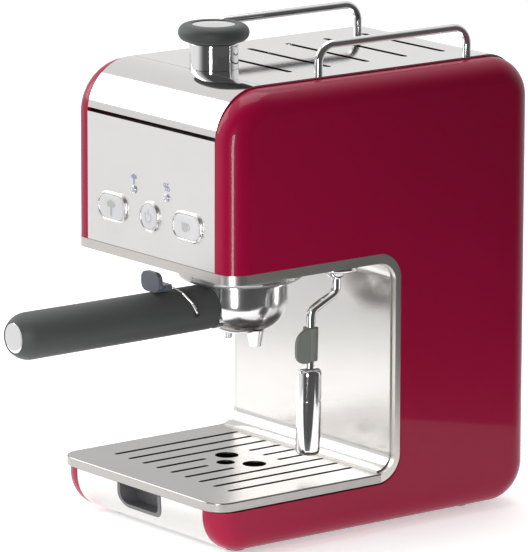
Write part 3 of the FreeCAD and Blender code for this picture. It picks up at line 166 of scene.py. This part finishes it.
def bright_chrome(name, colour=(0.82, 0.82, 0.83), rough=0.05):
    """Plated finish: a near mirror with faint wiping haze."""
    material, tree, shader = new_finish(name, colour, metal=1.0, rough=rough)
    space = place_on_piece(tree)
    haze = cloudy(tree, space, 55.0, 4.0, 0.6)
    tree.links.new(spread(tree, haze, rough * 0.6, rough * 2.0), shader.inputs["Roughness"])
    raise_surface(tree, shader, cloudy(tree, space, 160.0, 2.0), 0.015, 0.0002)
    return material


def moulded_rubber(name, dark, light, rough=0.6):
    """Soft rubber with a fine tooth."""
    material, tree, shader = new_finish(name, dark, rough=rough)
    space = place_on_piece(tree)
    tree.links.new(shade_between(tree, cloudy(tree, space, 26.0), dark, light),
                   shader.inputs["Base Color"])
    tooth = cloudy(tree, space, 2600.0, 2.0, 0.6)
    tree.links.new(spread(tree, tooth, rough - 0.06, rough + 0.06), shader.inputs["Roughness"])
    raise_surface(tree, shader, tooth, 0.12, 0.0002)
    shader.inputs["Sheen Weight"].default_value = 0.12
    shader.inputs["Sheen Roughness"].default_value = 0.5
    return material


def moulded_plastic(name, dark, light, rough):
    """Moulded plastic with a slight texture from its tool."""
    material, tree, shader = new_finish(name, dark, rough=rough)
    space = place_on_piece(tree)
    tree.links.new(shade_between(tree, cloudy(tree, space, 18.0), dark, light),
                   shader.inputs["Base Color"])
    fine = cloudy(tree, space, 900.0, 2.0)
    tree.links.new(spread(tree, fine, rough * 0.9, rough * 1.12), shader.inputs["Roughness"])
    raise_surface(tree, shader, fine, 0.04, 0.0002)
    return material


def cast_metal(name, colour, rough):
    """Cast metal with a pebbled skin."""
    material, tree, shader = new_finish(name, colour, metal=1.0, rough=rough)
    space = place_on_piece(tree)
    skin = cloudy(tree, space, 700.0, 3.0, 0.6)
    tree.links.new(spread(tree, skin, rough * 0.8, rough * 1.2), shader.inputs["Roughness"])
    raise_surface(tree, shader, skin, 0.15, 0.0004)
    return material


def smoked_plastic():
    """Smoked, slightly see-through tank plastic."""
    material, tree, shader = new_finish("smoked_plastic", (0.09, 0.09, 0.095), rough=0.12)
    space = place_on_piece(tree)
    tree.links.new(spread(tree, cloudy(tree, space, 40.0), 0.09, 0.16),
                   shader.inputs["Roughness"])
    raise_surface(tree, shader, cloudy(tree, space, 300.0, 1.0), 0.03, 0.0003)
    shader.inputs["Coat Weight"].default_value = 0.5
    shader.inputs["Coat Roughness"].default_value = 0.1
    return material


ENAMEL = red_enamel()
DECK_STEEL = rolled_steel("deck_steel", (0.72, 0.705, 0.70), 0.06, (60.0, 1.0, 1.0), 0.02)
FASCIA_STEEL = rolled_steel("fascia_steel", (0.80, 0.79, 0.78), 0.3, (1.0, 60.0, 60.0))
TRIM = rolled_steel("satin_trim", (0.66, 0.63, 0.60), 0.3, (1.0, 1.0, 40.0), 0.04)
BRIGHT_STEEL = rolled_steel("bright_steel", (0.68, 0.67, 0.655), 0.12, (1.0, 60.0, 60.0), 0.03)
LINING_STEEL = rolled_steel("lining_steel", (0.66, 0.645, 0.63), 0.2, (1.0, 60.0, 60.0), 0.03)
TRAY_STEEL = rolled_steel("tray_steel", (0.40, 0.385, 0.37), 0.24, (60.0, 1.0, 1.0), 0.04)
ZINC = rolled_steel("zinc_steel", (0.5, 0.5, 0.49), 0.4, (1.0, 1.0, 1.0))
CHROME = bright_chrome("chrome")
SOFT_CHROME = bright_chrome("soft_chrome", (0.74, 0.74, 0.75), 0.13)
BEZEL_PLATE = bright_chrome("bezel_plate", (0.70, 0.68, 0.67), 0.2)
MARK_PALE = moulded_plastic("pale_mark", (0.42, 0.42, 0.395), (0.46, 0.46, 0.435), 0.45)
MARK_BLUE = moulded_plastic("blue_mark", (0.26, 0.27, 0.40), (0.30, 0.31, 0.45), 0.4)
LENS_BLUE = moulded_plastic("lens_blue", (0.42, 0.46, 0.52), (0.50, 0.54, 0.60), 0.12)
SEAM_BROWN = moulded_plastic("seam_brown", (0.16, 0.12, 0.11), (0.20, 0.15, 0.14), 0.5)
RUBBER = moulded_rubber("dark_rubber", (0.038, 0.041, 0.040), (0.050, 0.053, 0.052))
WAND_RUBBER = moulded_rubber("wand_rubber", (0.16, 0.17, 0.155), (0.2, 0.21, 0.19))
CLIP_PLASTIC = moulded_plastic("clip_plastic", (0.075, 0.088, 0.105), (0.09, 0.105, 0.125), 0.35)
PULL_PLASTIC = moulded_plastic("pull_plastic", (0.10, 0.10, 0.105), (0.12, 0.12, 0.125), 0.4)
DARK_PLASTIC = moulded_plastic("dark_plastic", (0.018, 0.018, 0.02), (0.028, 0.028, 0.03), 0.5)
PALE_PLASTIC = moulded_plastic("pale_plastic", (0.60, 0.60, 0.62), (0.64, 0.64, 0.66), 0.32)
LENS = moulded_plastic("lamp_lens", (0.30, 0.36, 0.42), (0.36, 0.43, 0.5), 0.15)
BOARD = moulded_plastic("circuit_board", (0.01, 0.10, 0.04), (0.02, 0.14, 0.06), 0.35)
HOSE = moulded_plastic("silicone_hose", (0.5, 0.5, 0.47), (0.58, 0.58, 0.55), 0.3)
CAST = cast_metal("cast_aluminium", (0.56, 0.56, 0.55), 0.42)
BRASS = cast_metal("turned_brass", (0.62, 0.43, 0.18), 0.3)
TANK = smoked_plastic()

FINISH_OF = {
    "side_panel_left": ENAMEL, "side_panel_right": ENAMEL, "rear_panel": ENAMEL,
    "top_wrap": DECK_STEEL, "fascia": FASCIA_STEEL, "cavity_frame": TRIM,
    "cavity_sheet": LINING_STEEL, "base_pan": DARK_PLASTIC, "chassis": ZINC,
    "cup_rail_left": CHROME, "cup_rail_right": CHROME, "rail_nuts": ZINC,
    "feet": RUBBER, "case_screws": ZINC, "power_inlet": DARK_PLASTIC,
    "button_bezels": CHROME, "button_left": PALE_PLASTIC, "button_power": PALE_PLASTIC,
    "button_right": PALE_PLASTIC, "switches": DARK_PLASTIC, "control_board": BOARD,
    "lamp_lenses": LENS, "group_collar": CAST, "group_gasket": RUBBER,
    "shower_screen": BRIGHT_STEEL, "screen_screw": ZINC, "boiler_body": CAST,
    "boiler_cover": CAST, "boiler_screws": ZINC, "heating_element": ZINC,
    "thermostats": DARK_PLASTIC, "steam_valve": BRASS, "steam_pipe": ZINC,
    "pump": DARK_PLASTIC, "suction_hose": HOSE, "pressure_hose": HOSE,
    "water_tank": TANK, "tank_valve": DARK_PLASTIC, "tank_lid": TANK,
    "tank_seat": DARK_PLASTIC, "filter_holder": SOFT_CHROME, "spouts": SOFT_CHROME,
    "filter_basket": BRIGHT_STEEL, "handle_stud": ZINC, "handle_grip": RUBBER,
    "handle_cap": CHROME, "clip_wire": CHROME, "clip_lever": CLIP_PLASTIC,
    "wand_socket": CHROME, "steam_tube": CHROME, "wand_grip": WAND_RUBBER,
    "frother_sleeve": CHROME, "knob_column": CHROME, "knob_grip": RUBBER,
    "knob_cap": BRIGHT_STEEL, "valve_spindle": ZINC, "tray_basin": DARK_PLASTIC,
    "tray_front": BRIGHT_STEEL, "tray_bezel": PULL_PLASTIC, "grille": TRAY_STEEL,
}


def finish_built_parts():
    """Gives every built part its finish."""
    for node, material in FINISH_OF.items():
        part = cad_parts[node]
        part.data.materials.clear()
        part.data.materials.append(material)


finish_built_parts()


# ---------------------------------------------------------------- front plate fittings

FACING_FRONT = (math.pi / 2, 0.0, 0.0)
MM = 0.001
SIGN_STEP = 0.012 * MM     # how far each overlapping part of a sign stands before the last
SIGN_DEPTH = 0.05 * MM
SEAM_BEHIND_FASCIA = 38.5 * MM
SEAM_WIDTH = 0.34 * MM
CAP_SEAT = 1.3 * MM        # how far the cap's edge sits behind its crown


def rounded_plate(name, centre, width, height, corner):
    """Flat plate that faces the front, with rounded corners."""
    clear_selection()
    bpy.ops.mesh.primitive_plane_add(size=1.0, location=centre, rotation=FACING_FRONT)
    plate = bpy.context.object
    plate.name = name
    plate.scale = (width, height, 1.0)
    settle(plate)
    bpy.ops.object.mode_set(mode="EDIT")
    bpy.ops.mesh.select_all(action="SELECT")
    bpy.ops.mesh.bevel(offset=corner, segments=12, affect="VERTICES", clamp_overlap=True)
    bpy.ops.object.mode_set(mode="OBJECT")
    return plate


def round_plate(name, centre, radius, corners=56):
    """Flat disc that faces the front."""
    clear_selection()
    bpy.ops.mesh.primitive_circle_add(vertices=corners, radius=radius, fill_type="NGON",
                                      location=centre, rotation=FACING_FRONT)
    plate = bpy.context.object
    plate.name = name
    settle(plate)
    return plate


def turn_to_ring(plate, wall, proud):
    """Opens the plate's middle, draws the rim forward and rounds its lip."""
    pick(plate)
    bpy.ops.object.mode_set(mode="EDIT")
    bpy.ops.mesh.select_all(action="SELECT")
    bpy.ops.mesh.inset(thickness=wall)
    bpy.ops.mesh.delete(type="FACE")
    bpy.ops.mesh.select_all(action="SELECT")
    bpy.ops.mesh.extrude_region_move(TRANSFORM_OT_translate={"value": (0.0, -proud, 0.0)})
    bpy.ops.mesh.select_all(action="SELECT")
    bpy.ops.mesh.normals_make_consistent(inside=False)
    bpy.ops.object.mode_set(mode="OBJECT")
    lip = plate.modifiers.new("lip", "BEVEL")
    lip.width = min(wall, proud) * 0.46
    lip.segments = 4
    lip.limit_method = "ANGLE"
    lip.angle_limit = math.radians(50)
    apply_all(plate)
    pick(plate)
    bpy.ops.object.shade_smooth_by_angle(angle=math.radians(40))


def crown(plate, steps, skirt):
    """Raises a plate to a soft dome, ring by ring, and gives it a skirt behind."""
    pick(plate)
    bpy.ops.object.mode_set(mode="EDIT")
    bpy.ops.mesh.select_all(action="SELECT")
    bpy.ops.mesh.extrude_region_move(TRANSFORM_OT_translate={"value": (0.0, -skirt, 0.0)})
    for inward, rise in steps:
        bpy.ops.mesh.inset(thickness=inward)
        bpy.ops.transform.translate(value=(0.0, -rise, 0.0))
    bpy.ops.mesh.select_all(action="SELECT")
    bpy.ops.mesh.normals_make_consistent(inside=False)
    bpy.ops.object.mode_set(mode="OBJECT")
    pick(plate)
    bpy.ops.object.shade_smooth_by_angle(angle=math.radians(35))


def join_up(name, pieces, step=0.0):
    """Makes several shapes one piece, each a hair in front of the last where they overlap."""
    for number, piece in enumerate(pieces):
        pick(piece)
        piece.location.y = -step * number
        settle(piece)
    clear_selection()
    for piece in pieces:
        piece.select_set(True)
    bpy.context.view_layer.objects.active = pieces[0]
    if len(pieces) > 1:
        bpy.ops.object.join()
    joined = bpy.context.view_layer.objects.active
    joined.name = name
    return joined


def thicken_mark(mark, depth):
    """Gives a flat mark its small thickness towards the front."""
    pick(mark)
    bpy.ops.object.mode_set(mode="EDIT")
    bpy.ops.mesh.select_all(action="SELECT")
    bpy.ops.mesh.extrude_region_move(TRANSFORM_OT_translate={"value": (0.0, -depth, 0.0)})
    bpy.ops.mesh.select_all(action="SELECT")
    bpy.ops.mesh.normals_make_consistent(inside=False)
    bpy.ops.object.mode_set(mode="OBJECT")


def arc_bar(name, centre, radius, width, start, sweep, steps=28):
    """Flat curved bar: a short upright edge swept round the centre."""
    clear_selection()
    bpy.ops.mesh.primitive_plane_add(size=width, rotation=FACING_FRONT,
                                     location=(centre[0], centre[1], centre[2] + radius))
    bar = bpy.context.object
    bar.name = name
    settle(bar)
    bpy.ops.object.mode_set(mode="EDIT")
    bpy.ops.mesh.select_all(action="DESELECT")
    mesh = bmesh.from_edit_mesh(bar.data)
    mesh.select_mode = {"EDGE"}
    for edge in mesh.edges:
        edge.select = all(v.co.x > centre[0] for v in edge.verts)
    keep = [edge for edge in mesh.edges if edge.select]
    bmesh.ops.delete(mesh, geom=[e for e in mesh.edges if e not in keep], context="EDGES_FACES")
    for edge in mesh.edges:
        for corner in edge.verts:
            corner.co = (centre[0], corner.co.y, corner.co.z)
    turn = Matrix.Rotation(start, 4, "Y")
    bmesh.ops.transform(mesh, matrix=turn, verts=mesh.verts,
                        space=Matrix.Translation([-c for c in centre]))
    for edge in mesh.edges:
        edge.select = True
    bmesh.update_edit_mesh(bar.data)
    bpy.ops.mesh.spin(steps=steps, angle=-sweep, center=centre, axis=(0.0, 1.0, 0.0))
    bpy.ops.object.mode_set(mode="OBJECT")
    return bar


def flat_bar(name, centre, width, height):
    """Flat straight bar with round ends."""
    return rounded_plate(name, centre, width, height, min(width, height) * 0.45)


def finish_piece(piece, material, body):
    """Finish, body and material slot of a made piece."""
    piece.data.materials.clear()
    piece.data.materials.append(material)
    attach(piece, body)


BUTTONS = {"button_left": "left_button", "button_power": "power_button",
           "button_right": "right_button"}
FASCIA_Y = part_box("fascia")[0].y
BEZEL_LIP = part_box("button_left")[0].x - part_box("button_bezels")[0].x
BEZEL_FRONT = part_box("button_bezels")[0].y


def make_bezels():
    """Plated surrounds with a rolled lip, one for each button."""
    rings = []
    for node in BUTTONS:
        low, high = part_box(node)
        centre = ((low.x + high.x) / 2, FASCIA_Y + 0.3 * MM, (low.z + high.z) / 2)
        width = high.x - low.x + 2 * BEZEL_LIP
        height = high.z - low.z + 2 * BEZEL_LIP
        if abs(width - height) < 1 * MM:
            plate = round_plate("ring", centre, width / 2)
        else:
            plate = rounded_plate("ring", centre, width, height, height * 0.44)
        turn_to_ring(plate, BEZEL_LIP * 0.96, FASCIA_Y + 0.3 * MM - BEZEL_FRONT)
        rings.append(plate)
    bezels = join_up("rolled_bezels", rings)
    finish_piece(bezels, BEZEL_PLATE, "housing")
    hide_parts("button_bezels")


def make_button_faces():
    """Softly crowned faces with a printed sign each."""
    for node, body in BUTTONS.items():
        low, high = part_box(node)
        middle = ((low.x + high.x) / 2, low.y + 0.1 * MM, (low.z + high.z) / 2)
        width, height = high.x - low.x - 0.3 * MM, high.z - low.z - 0.3 * MM
        if abs(width - height) < 0.5 * MM:
            face = round_plate(node + "_face", middle, width / 2)
        else:
            face = rounded_plate(node + "_face", middle, width, height, height * 0.43)
        crown(face, [(0.35 * MM, 0.22 * MM), (0.8 * MM, 0.22 * MM), (1.6 * MM, 0.14 * MM)],
              0.15 * MM)
        finish_piece(face, PALE_PLASTIC, body)
        front = low.y - 0.66 * MM
        sign = BUTTON_SIGNS[node]((middle[0], front - 0.03 * MM, middle[2]))
        thicken_mark(sign, SIGN_DEPTH)
        sign.name = node + "_sign"
        finish_piece(sign, MARK_PALE, body)


def steam_cloud(centre, scale=0.82):
    """Sign of a puff of steam on a short stem."""
    x, y, z = centre
    s = scale * MM
    parts = [round_plate("puff", (x + dx * s, y, z + dz * s), r * s, 24)
             for dx, dz, r in ((-2.2, 1.6, 1.6), (2.2, 1.6, 1.6), (0.0, 2.3, 1.8), (0.0, 0.9, 1.4))]
    parts.append(flat_bar("stem", (x, y, z - 2.4 * s), 1.7 * s, 5.0 * s))
    return join_up("steam_cloud", parts, SIGN_STEP)


def power_ring(centre):
    """Sign of an open ring with a bar at its top."""
    x, y, z = centre
    ring = arc_bar("ring", centre, 3.4 * MM, 0.8 * MM, math.radians(38), math.radians(284))
    bar = flat_bar("bar", (x, y, z + 2.9 * MM), 0.8 * MM, 3.8 * MM)
    return join_up("power_ring", [ring, bar], SIGN_STEP)


def coffee_cup(centre):
    """Sign of a cup with its handle."""
    x, y, z = centre
    bowl = rounded_plate("bowl", (x - 1.2 * MM, y, z - 0.5 * MM), 6.6 * MM, 6.0 * MM, 2.7 * MM)
    brim = flat_bar("brim", (x - 1.2 * MM, y, z + 2.0 * MM), 7.6 * MM, 1.9 * MM)
    ear = arc_bar("ear", (x + 2.5 * MM, y, z + 0.3 * MM), 1.8 * MM, 0.8 * MM, 0.0,
                  math.radians(180))
    return join_up("coffee_cup", [bowl, brim, ear], SIGN_STEP)


def heat_waves(centre):
    """Sign of three wavy lines that rise."""
    x, y, z = centre
    lines = []
    for shift in (-2.0, 0.0, 2.0):
        low_part = arc_bar("wave", (x + shift * MM, y, z - 1.2 * MM), 1.2 * MM, 0.8 * MM,
                           0.0, math.radians(180), 12)
        top_part = arc_bar("wave", (x + shift * MM, y, z + 1.2 * MM), 1.2 * MM, 0.8 * MM,
                           math.radians(180), math.radians(180), 12)
        lines += [low_part, top_part]
    return join_up("heat_waves", lines, SIGN_STEP)


def large_cloud(centre):
    """The puff of steam at the button's size."""
    return steam_cloud(centre, 1.25)


BUTTON_SIGNS = {"button_left": large_cloud, "button_power": power_ring,
                "button_right": coffee_cup}


def make_lamps():
    """Small plated lamp rims, domed lenses and the sign above each lamp."""
    low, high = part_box("lamp_lenses")
    radius = (high.z - low.z) / 2
    z = (low.z + high.z) / 2
    signs = {low.x + radius: steam_cloud, high.x - radius: heat_waves}
    rims, domes = [], []
    for x in signs:
        rim = round_plate("rim", (x, FASCIA_Y + 0.2 * MM, z), radius, 40)
        turn_to_ring(rim, radius * 0.34, FASCIA_Y + 0.2 * MM - low.y + 0.2 * MM)
        rims.append(rim)
        dome = round_plate("dome", (x, low.y + 0.05 * MM, z), radius * 0.68, 40)
        crown(dome, [(0.3 * MM, 0.25 * MM), (0.5 * MM, 0.2 * MM), (0.5 * MM, 0.08 * MM)],
              0.08 * MM)
        domes.append(dome)
    finish_piece(join_up("lamp_rims", rims), CHROME, "housing")
    finish_piece(join_up("lamp_domes", domes), LENS_BLUE, "housing")
    for number, (x, sign_shape) in enumerate(signs.items()):
        place = (x, FASCIA_Y - 0.01 * MM, z + 7.4 * MM)
        sign = sign_shape(place)
        thicken_mark(sign, SIGN_DEPTH)
        sign.name = "lamp_sign_" + ("left", "right")[number]
        finish_piece(sign, MARK_BLUE, "housing")


def make_handle_cap():
    """Plated cap in the handle's end, crowned towards its middle."""
    low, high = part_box("handle_cap")
    radius = (high.x - low.x) / 2
    middle = ((low.x + high.x) / 2, low.y + CAP_SEAT, (low.z + high.z) / 2)
    cap = round_plate("crowned_cap", middle, radius, 64)
    crown(cap, [(0.09 * radius, 0.38 * MM), (0.13 * radius, 0.31 * MM), (0.17 * radius, 0.24 * MM),
                (0.2 * radius, 0.15 * MM), (0.2 * radius, 0.06 * MM)], 0.15 * MM)
    finish_piece(cap, CHROME, "holder")
    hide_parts("handle_cap")


def make_wrap_seam():
    """Fine line across the polished wrap, where the deck turns down to the front."""
    low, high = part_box("top_wrap")
    place = ((low.x + high.x) / 2, FASCIA_Y + SEAM_BEHIND_FASCIA, high.z + 0.01 * MM)
    clear_selection()
    bpy.ops.mesh.primitive_plane_add(size=1.0, location=place)
    line = bpy.context.object
    line.scale = (high.x - low.x - 3 * MM, SEAM_WIDTH, 1.0)
    settle(line)
    bpy.ops.object.mode_set(mode="EDIT")
    bpy.ops.mesh.select_all(action="SELECT")
    bpy.ops.mesh.extrude_region_move(TRANSFORM_OT_translate={"value": (0.0, 0.0, 0.02 * MM)})
    bpy.ops.mesh.select_all(action="SELECT")
    bpy.ops.mesh.normals_make_consistent(inside=False)
    bpy.ops.object.mode_set(mode="OBJECT")
    line.name = "wrap_seam"
    finish_piece(line, SEAM_BROWN, "housing")


make_bezels()
make_button_faces()
make_lamps()
make_handle_cap()
make_wrap_seam()


# ---------------------------------------------------------------- studio

CAMERA_AZIMUTH = math.radians(52.07)
CAMERA_HEIGHT_ANGLE = math.radians(12.30)
CAMERA_ROLL = math.radians(0.15)
CAMERA_PLACE = (2.9111, -2.2455, 0.9726)
CAMERA_LENS = 359.65

ROOM_BRIGHT = 0.9          # strength of the room behind and left of the machine
ROOM_DIM = 0.09            # strength on the side the camera stands on
BACKDROP_WHITE = 1.0       # strength of the plain backdrop itself

FLOOR_FRONT = 0.30         # how far the floor runs towards the camera, m
FLOOR_BACK = 3.0           # and away from it
FLOOR_HALF_WIDTH = 0.42
FLOOR_GLOW = 0.46          # the floor's own light, which keeps it white


def set_camera():
    """Camera from the front right, a little above, through a long lens."""
    data = bpy.data.cameras.new("camera")
    data.lens = CAMERA_LENS
    data.sensor_width = 36.0
    camera = bpy.data.objects.new("camera", data)
    bpy.context.scene.collection.objects.link(camera)
    camera.location = CAMERA_PLACE
    flat = math.cos(CAMERA_HEIGHT_ANGLE)
    back = Vector((math.sin(CAMERA_AZIMUTH) * flat, -math.cos(CAMERA_AZIMUTH) * flat,
                   math.sin(CAMERA_HEIGHT_ANGLE)))
    level = (-back).to_track_quat("-Z", "Y")
    camera.rotation_mode = "QUATERNION"
    camera.rotation_quaternion = level @ Quaternion((0, 0, 1), CAMERA_ROLL)
    bpy.context.scene.camera = camera


def soft_box(name, place, aim, width, height, power):
    """One large soft light that the camera itself doesn't see."""
    data = bpy.data.lights.new(name, "AREA")
    data.shape = "RECTANGLE"
    data.size = width
    data.size_y = height
    data.energy = power
    light = bpy.data.objects.new(name, data)
    bpy.context.scene.collection.objects.link(light)
    light.location = place
    light.rotation_mode = "QUATERNION"
    light.rotation_quaternion = (Vector(aim) - Vector(place)).to_track_quat("-Z", "Y")
    light.visible_camera = False


def set_room():
    """Pale room that is dim on the side the camera stands on, so plated parts keep contrast."""
    world = bpy.data.worlds.new("pale_room")
    world.use_nodes = True
    tree = world.node_tree
    ground = tree.nodes["Background"]
    coords = tree.nodes.new("ShaderNodeTexCoord")
    towards = tree.nodes.new("ShaderNodeVectorMath")
    towards.operation = "DOT_PRODUCT"
    towards.inputs[1].default_value = (0.94, -0.33, 0.0)
    tree.links.new(coords.outputs["Generated"], towards.inputs[0])
    fall = tree.nodes.new("ShaderNodeMapRange")
    fall.interpolation_type = "SMOOTHSTEP"
    fall.inputs["From Min"].default_value = -0.25
    fall.inputs["From Max"].default_value = 0.45
    fall.inputs["To Min"].default_value = ROOM_BRIGHT
    fall.inputs["To Max"].default_value = ROOM_DIM
    tree.links.new(towards.outputs["Value"], fall.inputs["Value"])
    path = tree.nodes.new("ShaderNodeLightPath")
    seen = tree.nodes.new("ShaderNodeMix")
    tree.links.new(path.outputs["Is Camera Ray"], seen.inputs["Factor"])
    tree.links.new(fall.outputs["Result"], seen.inputs["A"])
    seen.inputs["B"].default_value = BACKDROP_WHITE
    tree.links.new(seen.outputs["Result"], ground.inputs["Strength"])
    ground.inputs["Color"].default_value = (1.0, 1.0, 1.0, 1.0)
    bpy.context.scene.world = world
    bpy.context.scene.view_settings.view_transform = "Standard"


def set_lights():
    """A tall strip near the front corner, a soft box at the left and one overhead."""
    head = (0.0, -0.05, 0.22)
    soft_box("front_strip", (0.392, -0.51, 0.22), (0.08, -0.07, 0.22), 0.1, 0.44, 2.2)
    soft_box("left_box", (-1.7, -1.0, 1.2), head, 1.3, 1.3, 20.0)
    soft_box("top_box", (-0.3, 0.2, 1.9), head, 1.4, 1.4, 16.0)


def set_floor():
    """Plain pale floor that the feet stand on, laid along the camera's line."""
    clear_selection()
    bpy.ops.mesh.primitive_plane_add(size=1.0, location=(0, 0, 0))
    floor = bpy.context.object
    floor.name = "floor"
    floor.scale = (2 * FLOOR_HALF_WIDTH, FLOOR_FRONT + FLOOR_BACK, 1.0)
    floor.location = (0.0, (FLOOR_BACK - FLOOR_FRONT) / 2, 0.0)
    settle(floor)
    floor.data.transform(Matrix.Rotation(CAMERA_AZIMUTH, 4, "Z"))
    material, _, shader = new_finish("pale_floor", (0.9, 0.9, 0.9), rough=0.8)
    shader.inputs["Specular IOR Level"].default_value = 0.1
    shader.inputs["Emission Color"].default_value = (1.0, 1.0, 1.0, 1.0)
    shader.inputs["Emission Strength"].default_value = FLOOR_GLOW
    floor.data.materials.append(material)


set_camera()
set_room()
set_lights()
set_floor()
